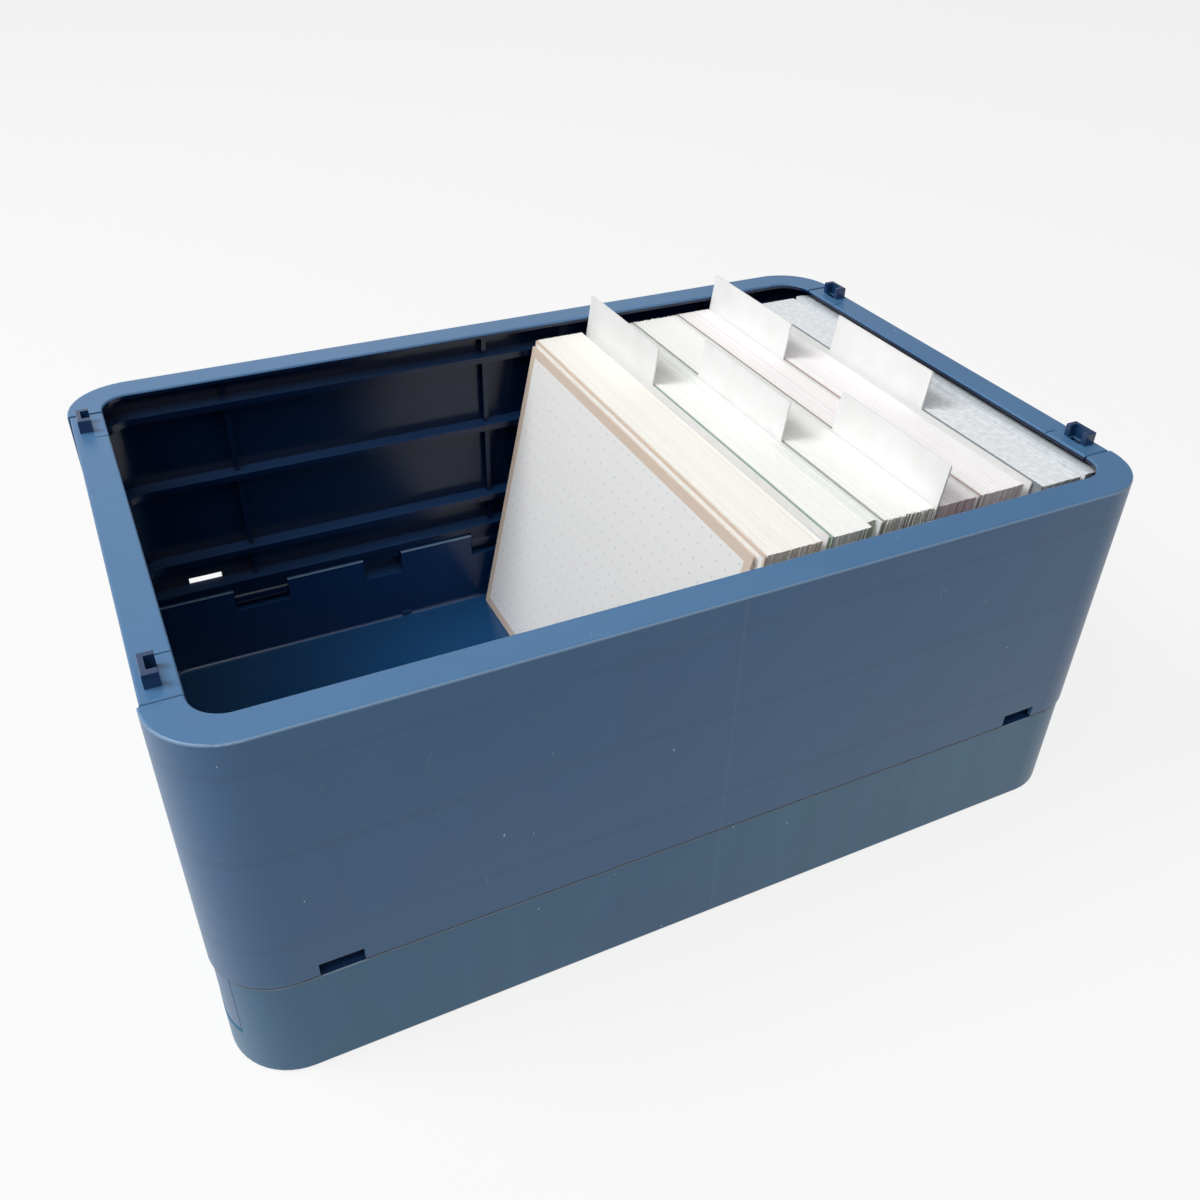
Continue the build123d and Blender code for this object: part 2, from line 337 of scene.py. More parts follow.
    def joint_line(self, tree: Tree, place: Socket) -> Socket:
        """Draw the fine line that the two halves of the mould leave in the middle of the long walls.

        Args:
            tree: The finish's node tree.
            place: The socket that gives the place on the piece.

        Returns:
            A socket with the strength of the line.
        """
        spot = add_node(tree, "ShaderNodeSeparateXYZ", {0: place})
        middle = add_node(
            tree, "ShaderNodeMath",
            {0: spot.outputs["X"], 1: 0.0, 2: self.joint_mm / 2 * MM}, operation="COMPARE",
        )
        below = self.band(tree, spot.outputs["Z"], self.joint_heights_mm)
        joint = add_node(tree, "ShaderNodeMath", {0: middle.outputs[0], 1: below}, operation="MULTIPLY")
        fine = add_node(
            tree, "ShaderNodeMath", {0: joint.outputs[0], 1: self.joint_strength}, operation="MULTIPLY"
        )
        return fine.outputs[0]

    def etched_side(self, tree: Tree, place: Socket) -> Socket:
        """Colour the outside: soft clouds and streaks, sink marks over the ribs in painted shade, and then
        the fine marks.

        Args:
            tree: The finish's node tree.
            place: The socket that gives the place on the piece.

        Returns:
            The socket of the colour.
        """
        clouds = add_node(
            tree, "ShaderNodeTexNoise", {"Vector": place, "Scale": 1 / (self.cloud_mm * MM), "Detail": 3.0}
        )
        start, full = self.cloud_span
        clouded = add_node(
            tree, "ShaderNodeValToRGB", {"Fac": clouds.outputs["Fac"]},
            stops=((start, self.outside_hex), (full, self.cloud_hex)),
        )
        # The melt flows up the walls and leaves faint upright streaks
        upright = add_node(
            tree, "ShaderNodeMapping", {"Vector": place, "Scale": (1.0, 1.0, self.streak_stretch)}
        )
        streaks = add_node(
            tree, "ShaderNodeTexNoise",
            {"Vector": upright.outputs[0], "Scale": 1 / (self.streak_mm * MM), "Detail": 3.0},
        )
        least, most = 1 - self.streak_strength, 1 + self.streak_strength
        flow = add_node(
            tree, "ShaderNodeMapRange", {"Value": streaks.outputs["Fac"], "To Min": least, "To Max": most}
        )
        # Each sink mark is painted shade, a soft dark line at the height of a rib
        stops = [(0.0, WHITE)]
        for level in self.sink_levels_mm:
            for offset, tint in ((-1, WHITE), (0, self.sink_shade_hex), (1, WHITE)):
                stops.append(((level + offset * self.sink_half_mm) / self.sink_range_mm, tint))
        stops.append((1.0, WHITE))
        height = add_node(tree, "ShaderNodeSeparateXYZ", {0: place}).outputs["Z"]
        share = add_node(
            tree, "ShaderNodeMath", {0: height, 1: self.sink_range_mm * MM}, operation="DIVIDE"
        )
        sink_shades = add_node(tree, "ShaderNodeValToRGB", {"Fac": share.outputs[0]}, stops=tuple(stops))
        colour = clouded.outputs["Color"]
        for tint in (flow.outputs[0], sink_shades.outputs["Color"]):
            colour = add_node(
                tree, "ShaderNodeVectorMath", {0: colour, 1: tint}, operation="MULTIPLY"
            ).outputs[0]
        marks = self.specks(tree, place)
        for line in (self.scratches(tree, place), self.joint_line(tree, place)):
            marks = add_node(tree, "ShaderNodeMath", {0: marks, 1: line}, operation="MAXIMUM").outputs[0]
        marked = add_node(
            tree, "ShaderNodeMix", {0: marks, 6: colour, 7: linear(self.dust_hex)}, data_type="RGBA"
        )
        return marked.outputs[2]

    def painted_light_inside(self, tree: Tree, place: Socket, core: Socket) -> Socket:
        """Colour the inside in painted shade, with painted light on its upward faces, its floor and the
        tray's top edge, and a paler painted shade on the hooks.

        Args:
            tree: The finish's node tree.
            place: The socket that gives the place on the piece.
            core: The socket that is one on the inside of the box.

        Returns:
            The socket of the colour.
        """
        height = add_node(tree, "ShaderNodeSeparateXYZ", {0: place}).outputs["Z"]
        normal = add_node(tree, "ShaderNodeTexCoord").outputs["Normal"]
        facing = add_node(tree, "ShaderNodeSeparateXYZ", {0: normal}).outputs["Z"]
        # Upward faces inside are paler: painted light from above
        upper = add_node(tree, "ShaderNodeMath", {0: facing, 1: self.ledge_facing}, operation="GREATER_THAN")
        lit_ledge = add_node(tree, "ShaderNodeMath", {0: upper.outputs[0], 1: core}, operation="MULTIPLY")
        # Near black: painted shade inside the box, on the hooks and in the seam gap
        colour = linear(self.shaded_inside_hex)
        # Painted light and shade over it: upward faces, the tray's top edge and the hooks' band, and the
        # floor
        for mask, hex_colour in (
            (lit_ledge.outputs[0], self.lit_ledge_hex),
            (self.band(tree, height, self.painted_light_band_heights_mm), self.painted_light_band_hex),
            (self.band(tree, height, self.floor_heights_mm), self.floor_hex),
        ):
            colour = add_node(
                tree, "ShaderNodeMix", {0: mask, 6: colour, 7: linear(hex_colour)}, data_type="RGBA"
            ).outputs[2]
        return colour

    def dye(self, tree: Tree, place: Socket) -> tuple[Socket, Socket]:
        """Colour the etched sides, the glossy sides in painted shade, and pale the rim's outer edge as a
        painted highlight.

        Args:
            tree: The finish's node tree.
            place: The socket that gives the place on the piece.

        Returns:
            The socket of the plastic's colour, and one that is one where the mould had a mirror polish, which
            also takes the painted shade.
        """
        height = add_node(tree, "ShaderNodeSeparateXYZ", {0: place}).outputs["Z"]
        reach = self.plan_reach(tree, place)
        radius = self.corner_radius_mm * MM
        within = add_node(
            tree, "ShaderNodeMath", {0: reach, 1: radius - self.inside_depth_mm * MM}, operation="LESS_THAN"
        )
        inside = self.band(tree, height, self.inside_heights_mm)
        core = add_node(
            tree, "ShaderNodeMath", {0: within.outputs[0], 1: inside}, operation="MULTIPLY"
        ).outputs[0]
        # The glossy sides also take the painted shade: the inside, the seam gap and the hooks
        polished_and_shaded = core
        for heights_mm in (self.seam_shadow_heights_mm, self.hook_heights_mm):
            thin = self.band(tree, height, heights_mm)
            polished_and_shaded = add_node(
                tree, "ShaderNodeMath", {0: polished_and_shaded, 1: thin}, operation="MAXIMUM"
            ).outputs[0]
        sides = add_node(
            tree, "ShaderNodeMix",
            {0: polished_and_shaded, 6: self.etched_side(tree, place), 7: self.painted_light_inside(tree, place, core)},
            data_type="RGBA",
        )
        # A painted highlight along the rim's outer edge
        outer = add_node(
            tree, "ShaderNodeMath", {0: reach, 1: radius - self.rim_highlight_mm * MM}, operation="GREATER_THAN"
        )
        pale = outer.outputs[0]
        for share in (self.band(tree, height, self.rim_highlight_heights_mm), self.rim_highlight_strength):
            pale = add_node(tree, "ShaderNodeMath", {0: pale, 1: share}, operation="MULTIPLY").outputs[0]
        edged = add_node(
            tree, "ShaderNodeMix", {0: pale, 6: sides.outputs[2], 7: linear(self.rim_highlight_hex)}, data_type="RGBA"
        )
        return edged.outputs[2], polished_and_shaded

    def build(self) -> bpy.types.Material:
        """Build the finish: the dye with its sides, painted shade and painted highlight, the grain and the
        uneven gloss.

        Returns:
            The material.
        """
        material, tree = new_material(self.name)
        place = add_node(tree, "ShaderNodeTexCoord").outputs["Object"]
        # The etched grain is finer than the render shows, so it is drawn coarser, and only as relief
        grain = add_node(
            tree, "ShaderNodeTexNoise", {"Vector": place, "Scale": 1 / (self.grain_mm * MM), "Detail": 2.0}
        )
        relief = add_node(
            tree, "ShaderNodeBump",
            {
                "Height": grain.outputs["Fac"],
                "Strength": self.grain_strength,
                "Distance": self.grain_depth_mm * MM,
            },
        )
        hazes = add_node(
            tree, "ShaderNodeTexNoise", {"Vector": place, "Scale": 1 / (self.haze_mm * MM), "Detail": 3.0}
        )
        least, most = (self.roughness + spread for spread in self.roughness_spread)
        gloss = add_node(
            tree, "ShaderNodeMapRange", {"Value": hazes.outputs["Fac"], "To Min": least, "To Max": most}
        )
        colour, polished_and_shaded = self.dye(tree, place)
        sheen = add_node(
            tree, "ShaderNodeMix", {0: polished_and_shaded, 2: gloss.outputs[0], 3: self.polished_roughness}
        )
        shader = add_node(
            tree, "ShaderNodeBsdfPrincipled",
            {
                "Base Color": colour,
                "Roughness": sheen.outputs[0],
                "IOR": self.ior,
                "Normal": relief.outputs[0],
            },
        )
        add_node(tree, "ShaderNodeOutputMaterial", {"Surface": shader.outputs[0]})
        return material


@dataclass(frozen=True)
class CutCards:
    """Uncoated card cut in packs: smooth pale tops, and ends in painted shade, a little different card to
    card.
    """

    name: str
    top_hex: str
    line_hex: str
    end_tint_and_shade_bands: tuple[tuple[float, str], ...]
    gap_shadow_hex: str = WHITE
    first_share: float = 0.012
    first_step: float = 0.01
    line_share: float = 0.10
    line_step: float = 0.08
    end_shade_contrast: float = 0.15
    fleck: float = 0.03
    fibre_mm: float = 0.9
    roughness: float = 0.82

    def build(self) -> bpy.types.Material:
        """Build the finish from each card's tone and rank in its pack, and from the way its faces point, with
        painted shade on the ends and a painted shadow on the first cards.

        Returns:
            The material.
        """
        material, tree = new_material(self.name)
        place = add_node(tree, "ShaderNodeTexCoord").outputs["Object"]
        tone = add_node(tree, "ShaderNodeAttribute", attribute_name=StackOfCards.TONE).outputs["Fac"]
        rank = add_node(tree, "ShaderNodeAttribute", attribute_name=StackOfCards.RANK).outputs["Fac"]
        top = add_node(
            tree, "ShaderNodeValToRGB", {"Fac": tone},
            stops=((self.line_share, self.line_hex), (self.line_share + self.line_step, self.top_hex)),
        )
        # The end colours mix print tints with painted shade, darker than the tops
        bands = add_node(tree, "ShaderNodeValToRGB", {"Fac": rank}, stops=self.end_tint_and_shade_bands)
        # Random darker ends: painted shade between cards of uneven length
        shade = add_node(
            tree, "ShaderNodeMapRange", {"Value": tone, "To Min": 1 - self.end_shade_contrast, "To Max": 1.0}
        )
        ends = add_node(
            tree, "ShaderNodeVectorMath",
            {0: bands.outputs["Color"], 1: shade.outputs[0]}, operation="MULTIPLY",
        )
        # Faces that point along the cards take the end colours: painted shade at the pack's ends
        normal = add_node(tree, "ShaderNodeNewGeometry").outputs["Normal"]
        facing = add_node(tree, "ShaderNodeSeparateXYZ", {0: normal})
        sideways = add_node(tree, "ShaderNodeMath", {0: facing.outputs["Y"]}, operation="ABSOLUTE")
        card = add_node(
            tree, "ShaderNodeMix",
            {0: sideways.outputs[0], 6: top.outputs["Color"], 7: ends.outputs[0]}, data_type="RGBA",
        )
        fibres = add_node(
            tree, "ShaderNodeTexNoise", {"Vector": place, "Scale": 1 / (self.fibre_mm * MM), "Detail": 3.0}
        )
        flecks = add_node(
            tree, "ShaderNodeMapRange",
            {"Value": fibres.outputs["Fac"], "To Min": 1 - self.fleck, "To Max": 1 + self.fleck / 2},
        )
        # The first cards of a pack are darker: painted shadow of the gap behind the divider
        first = add_node(
            tree, "ShaderNodeValToRGB", {"Fac": rank},
            stops=((self.first_share, self.gap_shadow_hex), (self.first_share + self.first_step, WHITE)),
        )
        colour = card.outputs[2]
        for tint in (flecks.outputs[0], first.outputs["Color"]):
            colour = add_node(
                tree, "ShaderNodeVectorMath", {0: colour, 1: tint}, operation="MULTIPLY"
            ).outputs[0]
        shader = add_node(
            tree, "ShaderNodeBsdfPrincipled", {"Base Color": colour, "Roughness": self.roughness}
        )
        add_node(tree, "ShaderNodeOutputMaterial", {"Surface": shader.outputs[0]})
        return material


@dataclass(frozen=True)
class PrintedCard:
    """Uncoated card with a tan border and a grid of small grey dots printed inside it."""

    name: str
    paper_hex: str
    border_hex: str
    dot_hex: str
    length_m: float
    border_mm: float
    dot_pitch_mm: float = 4.9
    dot_radius_mm: float = 0.34
    first_dot_mm: float = 7.0
    roughness: float = 0.8

    def build(self) -> bpy.types.Material:
        """Build the print from the card's own map, which runs in metres from its lower far corner.

        Returns:
            The material.
        """
        material, tree = new_material(self.name)
        spot = add_node(tree, "ShaderNodeSeparateXYZ", {0: add_node(tree, "ShaderNodeUVMap").outputs["UV"]})
        offsets, margins = [], []
        for axis, extent in (("X", self.length_m), ("Y", CARD_HEIGHT)):
            along = spot.outputs[axis]
            shifted = add_node(
                tree, "ShaderNodeMath", {0: along, 1: self.first_dot_mm * MM}, operation="SUBTRACT"
            )
            steps = add_node(
                tree, "ShaderNodeMath", {0: shifted.outputs[0], 1: self.dot_pitch_mm * MM}, operation="DIVIDE"
            )
            nearest = add_node(tree, "ShaderNodeMath", {0: steps.outputs[0]}, operation="ROUND")
            offset = add_node(
                tree, "ShaderNodeMath", {0: steps.outputs[0], 1: nearest.outputs[0]}, operation="SUBTRACT"
            )
            offsets.append(offset.outputs[0])
            rest = add_node(tree, "ShaderNodeMath", {0: extent, 1: along}, operation="SUBTRACT")
            margin = add_node(tree, "ShaderNodeMath", {0: along, 1: rest.outputs[0]}, operation="MINIMUM")
            margins.append(margin.outputs[0])
        away = add_node(tree, "ShaderNodeCombineXYZ", {0: offsets[0], 1: offsets[1]})
        distance = add_node(tree, "ShaderNodeVectorMath", {0: away.outputs[0]}, operation="LENGTH")
        dot = add_node(
            tree, "ShaderNodeMath",
            {0: distance.outputs["Value"], 1: self.dot_radius_mm / self.dot_pitch_mm}, operation="LESS_THAN",
        )
        nearest_edge = add_node(
            tree, "ShaderNodeMath", {0: margins[0], 1: margins[1]}, operation="MINIMUM"
        )
        border = add_node(
            tree, "ShaderNodeMath",
            {0: nearest_edge.outputs[0], 1: self.border_mm * MM}, operation="LESS_THAN",
        )
        dotted = add_node(
            tree, "ShaderNodeMix",
            {0: dot.outputs[0], 6: linear(self.paper_hex), 7: linear(self.dot_hex)}, data_type="RGBA",
        )
        framed = add_node(
            tree, "ShaderNodeMix",
            {0: border.outputs[0], 6: dotted.outputs[2], 7: linear(self.border_hex)}, data_type="RGBA",
        )
        shader = add_node(
            tree, "ShaderNodeBsdfPrincipled", {"Base Color": framed.outputs[2], "Roughness": self.roughness}
        )
        add_node(tree, "ShaderNodeOutputMaterial", {"Surface": shader.outputs[0]})
        return material


@dataclass(frozen=True)
class SmoothBoard:
    """Smooth white divider board, calendered, with a trace of mottling from the pulp."""

    name: str
    board_hex: str
    mottle_hex: str
    mottle_mm: float = 9.0
    mottle_span: tuple[float, float] = (0.3, 0.6)
    roughness: float = 0.55

    def build(self) -> bpy.types.Material:
        """Build the finish from one soft noise.

        Returns:
            The material.
        """
        material, tree = new_material(self.name)
        place = add_node(tree, "ShaderNodeTexCoord").outputs["Object"]
        mottle = add_node(
            tree, "ShaderNodeTexNoise", {"Vector": place, "Scale": 1 / (self.mottle_mm * MM), "Detail": 4.0}
        )
        start, full = self.mottle_span
        colour = add_node(
            tree, "ShaderNodeValToRGB", {"Fac": mottle.outputs["Fac"]},
            stops=((start, self.mottle_hex), (full, self.board_hex)),
        )
        shader = add_node(
            tree, "ShaderNodeBsdfPrincipled",
            {"Base Color": colour.outputs["Color"], "Roughness": self.roughness},
        )
        add_node(tree, "ShaderNodeOutputMaterial", {"Surface": shader.outputs[0]})
        return material


def keep_piece(
    name: str, mesh: bpy.types.Mesh, material: bpy.types.Material, node: str
) -> bpy.types.Object:
    """Put a finished mesh into the scene as a piece that stands for a solid.

    Args:
        name: The piece's name.
        mesh: The mesh, with its place in it.
        material: The finish of the whole mesh.
        node: The node that the piece replaces; the piece rides on that node's body.

    Returns:
        The new object.
    """
    mesh.name = name
    mesh.materials.clear()
    mesh.materials.append(material)
    piece = bpy.data.objects.new(name, mesh)
    bpy.context.scene.collection.objects.link(piece)
    bodies = frame["record"]["behaviour"]["bodies"]
    body = next(label for label, nodes in bodies.items() if node in nodes)
    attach(piece, body)
    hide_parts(node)
    LOG.info("%s stands for %s on %s, %d faces", name, node, body, len(mesh.polygons))
    return piece


@dataclass
class StackOfCards:
    """A pack of loose cards that lean together, made card by card with geometry nodes."""

    node: str
    finish: CutCards
    lean: float = STACK_LEAN
    sheet_mm: float = 0.30
    side_jitter_mm: float = 0.14
    trim_share: float = 0.0006
    fill_share: float = 0.985
    seed: int = 1

    TONE = "card_tone"
    RANK = "card_rank"

    @staticmethod
    def build_tree() -> Tree:
        """Build the node tree: a row of feet, a card on each, with its own trim, side step and tone.

        Returns:
            The tree, with its sizes as named inputs.
        """
        tree = bpy.data.node_groups.new("stack_of_cards", "GeometryNodeTree")
        tree.is_modifier = True
        for label, kind in (
            ("Cards", "NodeSocketInt"),
            ("First Foot", "NodeSocketVector"),
            ("Foot Step", "NodeSocketVector"),
            ("Card Size", "NodeSocketVector"),
            ("Lean", "NodeSocketVector"),
            ("Side Jitter", "NodeSocketFloat"),
            ("Shortest", "NodeSocketFloat"),
            ("Seed", "NodeSocketInt"),
            ("Finish", "NodeSocketMaterial"),
        ):
            tree.interface.new_socket(label, in_out="INPUT", socket_type=kind)
        tree.interface.new_socket("Geometry", in_out="OUTPUT", socket_type="NodeSocketGeometry")
        given = add_node(tree, "NodeGroupInput").outputs
        feet = add_node(
            tree, "GeometryNodeMeshLine",
            {"Count": given["Cards"], "Start Location": given["First Foot"], "Offset": given["Foot Step"]},
        )
        least = add_node(tree, "ShaderNodeMath", {0: given["Side Jitter"], 1: -1.0}, operation="MULTIPLY")
        side = add_node(
            tree, "FunctionNodeRandomValue",
            {2: least.outputs[0], 3: given["Side Jitter"], "Seed": given["Seed"]}, data_type="FLOAT",
        )
        step = add_node(tree, "ShaderNodeCombineXYZ", {1: side.outputs[1]})
        placed = add_node(
            tree, "GeometryNodeSetPosition", {"Geometry": feet.outputs[0], "Offset": step.outputs[0]}
        )
        card = add_node(tree, "GeometryNodeMeshCube", {"Size": given["Card Size"]})
        size = add_node(tree, "ShaderNodeSeparateXYZ", {0: given["Card Size"]})
        half = add_node(tree, "ShaderNodeMath", {0: size.outputs["Z"], 1: 0.5}, operation="MULTIPLY")
        rise = add_node(tree, "ShaderNodeCombineXYZ", {2: half.outputs[0]})
        standing = add_node(
            tree, "GeometryNodeTransform", {"Geometry": card.outputs[0], "Translation": rise.outputs[0]}
        )
        next_seed = add_node(tree, "ShaderNodeMath", {0: given["Seed"], 1: 1.0}, operation="ADD")
        trim = add_node(
            tree, "FunctionNodeRandomValue",
            {2: given["Shortest"], 3: 1.0, "Seed": next_seed.outputs[0]}, data_type="FLOAT",
        )
        scale = add_node(tree, "ShaderNodeCombineXYZ", {0: 1.0, 1: 1.0, 2: trim.outputs[1]})
        turn = add_node(tree, "FunctionNodeEulerToRotation", {0: given["Lean"]})
        cards = add_node(
            tree, "GeometryNodeInstanceOnPoints",
            {
                "Points": placed.outputs[0],
                "Instance": standing.outputs[0],
                "Rotation": turn.outputs[0],
                "Scale": scale.outputs[0],
            },
        )
        last_seed = add_node(tree, "ShaderNodeMath", {0: given["Seed"], 1: 2.0}, operation="ADD")
        tone = add_node(
            tree, "FunctionNodeRandomValue", {2: 0.0, 3: 1.0, "Seed": last_seed.outputs[0]}, data_type="FLOAT"
        )
        toned = add_node(
            tree, "GeometryNodeStoreNamedAttribute",
            {"Geometry": cards.outputs[0], "Name": StackOfCards.TONE, "Value": tone.outputs[1]},
            data_type="FLOAT", domain="INSTANCE",
        )
        place = add_node(tree, "GeometryNodeInputIndex").outputs[0]
        rank = add_node(tree, "ShaderNodeMath", {0: place, 1: given["Cards"]}, operation="DIVIDE")
        ranked = add_node(
            tree, "GeometryNodeStoreNamedAttribute",
            {"Geometry": toned.outputs[0], "Name": StackOfCards.RANK, "Value": rank.outputs[0]},
            data_type="FLOAT", domain="INSTANCE",
        )
        whole = add_node(tree, "GeometryNodeRealizeInstances", {"Geometry": ranked.outputs[0]})
        dressed = add_node(
            tree, "GeometryNodeSetMaterial", {"Geometry": whole.outputs[0], "Material": given["Finish"]}
        )
        add_node(tree, "NodeGroupOutput", {"Geometry": dressed.outputs[0]})
        return tree

    def build(self, tree: Tree) -> bpy.types.Object:
        """Fill the pack's solid with cards and bake them to one mesh.

        Args:
            tree: The shared tree that makes a stack.

        Returns:
            The finished piece.
        """
        low, high = (Vector(corner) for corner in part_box(self.node))
        material = self.finish.build()
        height = (high.z - low.z) / math.cos(self.lean)
        width = high.x - low.x - height * math.sin(self.lean)
        count = round(width * math.cos(self.lean) / (self.sheet_mm * MM))
        pitch = width / count
        sheet = pitch * math.cos(self.lean) * self.fill_share
        jitter = self.side_jitter_mm * MM
        values = {
            "Cards": count,
            "First Foot": (low.x + pitch / 2, (low.y + high.y) / 2, low.z),
            "Foot Step": (pitch, 0.0, 0.0),
            "Card Size": (sheet, high.y - low.y - 2 * jitter, height),
            "Lean": (0.0, self.lean, 0.0),
            "Side Jitter": jitter,
            "Shortest": 1 - self.trim_share,
            "Seed": self.seed,
            "Finish": material,
        }
        holder = bpy.data.objects.new(f"{self.node}_maker", bpy.data.meshes.new("maker"))
        bpy.context.scene.collection.objects.link(holder)
        modifier = holder.modifiers.new("cards", "NODES")
        modifier.node_group = tree
        for item in tree.interface.items_tree:
            if item.in_out == "INPUT":
                modifier[item.identifier] = values[item.name]
        mesh = bpy.data.meshes.new_from_object(holder.evaluated_get(bpy.context.evaluated_depsgraph_get()))
        bpy.data.objects.remove(holder)
        return keep_piece(f"{self.node}_cards", mesh, material, self.node)


@dataclass
class Sheet:
    """One stiff sheet that leans in the stack: a card, or a divider with a tab on its top edge."""

    node: str
    lean: float = STACK_LEAN
    corner_mm: float = 0.5
    tab: TabPlace | None = None
    tab_height_mm: float = 12.7
    tab_round_mm: float = 0.5
    arc_steps: int = 5

    def outline(self, length: float) -> list[Vector]:
        """Trace the sheet's edge from its lower far corner, with every corner rounded.

        Args:
            length: The sheet's length in metres.

        Returns:
            Points along the edge, x from the far edge and y up the sheet.
        """
        corner = self.corner_mm * MM
        points = [(0.0, 0.0, corner), (length, 0.0, corner), (length, CARD_HEIGHT, corner)]
        if self.tab is not None:
            start = length * self.tab.value
            end = start + length * TAB_SHARE
            peak = CARD_HEIGHT + self.tab_height_mm * MM
            curve = self.tab_round_mm * MM
            if self.tab is TabPlace.NEAR:
                points.pop()
            else:
                points.append((end, CARD_HEIGHT, curve))
            points += [(end, peak, curve), (start, peak, curve)]
            if self.tab is not TabPlace.FAR:
                points.append((start, CARD_HEIGHT, curve))
        if self.tab is not TabPlace.FAR:
            points.append((0.0, CARD_HEIGHT, corner))
        edge = []
        for index, (x, y, radius) in enumerate(points):
            here = Vector((x, y))
            before = (Vector(points[index - 1][:2]) - here).normalized()
            after = (Vector(points[(index + 1) % len(points)][:2]) - here).normalized()
            centre = here + (before + after) * radius
            for step in range(self.arc_steps + 1):
                turn = step / self.arc_steps * math.pi / 2
                edge.append(centre - after * radius * math.cos(turn) - before * radius * math.sin(turn))
        return edge

    def build(self, material: bpy.types.Material) -> bpy.types.Object:
        """Make the sheet where its solid stands, with a map in metres for its print.

        Args:
            material: The sheet's finish.

        Returns:
            The finished piece.
        """
        low, high = (Vector(corner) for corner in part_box(self.node))
        length = high.y - low.y
        along = Vector((0.0, -1.0, 0.0))
        upward = Vector((math.sin(self.lean), 0.0, math.cos(self.lean)))
        inward = Vector((math.cos(self.lean), 0.0, -math.sin(self.lean)))
        foot = Vector((low.x, high.y, low.z + SHEET_THICKNESS * math.sin(self.lean)))
        shape = bmesh.new()
        print_map = shape.loops.layers.uv.new("print")
        edge = self.outline(length)
        rings = []
        for depth in (0.0, SHEET_THICKNESS):
            rings.append([shape.verts.new(foot + along * p.x + upward * p.y + inward * depth) for p in edge])
        spots = {vert: p for ring in rings for vert, p in zip(ring, edge)}
        shape.faces.new(rings[0])
        shape.faces.new(list(reversed(rings[1])))
        for index in range(len(edge)):
            following = (index + 1) % len(edge)
            shape.faces.new(
                (rings[0][following], rings[0][index], rings[1][index], rings[1][following])
            )
        bmesh.ops.recalc_face_normals(shape, faces=shape.faces)
        for face in shape.faces:
            for loop in face.loops:
                loop[print_map].uv = spots[loop.vert]
        mesh = bpy.data.meshes.new(self.node)
        shape.to_mesh(mesh)
        shape.free()
        return keep_piece(f"{self.node}_sheet", mesh, material, self.node)


@dataclass
class MouldedBox:
    """The tray and its four folding walls, which keep their solids and get the plastic finishes."""

    long_finish: MouldedPlastic
    end_finish: MouldedPlastic
    tray_finish: MouldedPlastic
    long_walls: tuple[str, ...] = ("back_wall", "front_wall")
    end_walls: tuple[str, ...] = ("left_end_wall", "right_end_wall")
    tray: str = "base_tray"

    def dress(self) -> None:
        """Give each moulded node its finish."""
        long_material = self.long_finish.build()
        end_material = self.end_finish.build()
        finishes = {name: long_material for name in self.long_walls}
        finishes |= {name: end_material for name in self.end_walls}
        finishes[self.tray] = self.tray_finish.build()
        for name, material in finishes.items():
            frame["nodes"][name].material_slots[0].material = material
            LOG.info("%s dressed as %s", name, material.name)


@dataclass
class CardFile:
    """Everything that stands in the box: single cards, packs, dividers and the rear cards."""

    packs: tuple[StackOfCards, ...]
    dividers: tuple[Sheet, ...]
    divider_finish: SmoothBoard
    singles: tuple[tuple[Sheet, PrintedCard], ...]

    def build(self) -> None:
        """Build the packs, then the dividers, then the printed single cards."""
        tree = StackOfCards.build_tree()
        for pack in self.packs:
            pack.build(tree)
        board = self.divider_finish.build()
        for divider in self.dividers:
            divider.build(board)
        for sheet, finish in self.singles:
            sheet.build(finish.build())


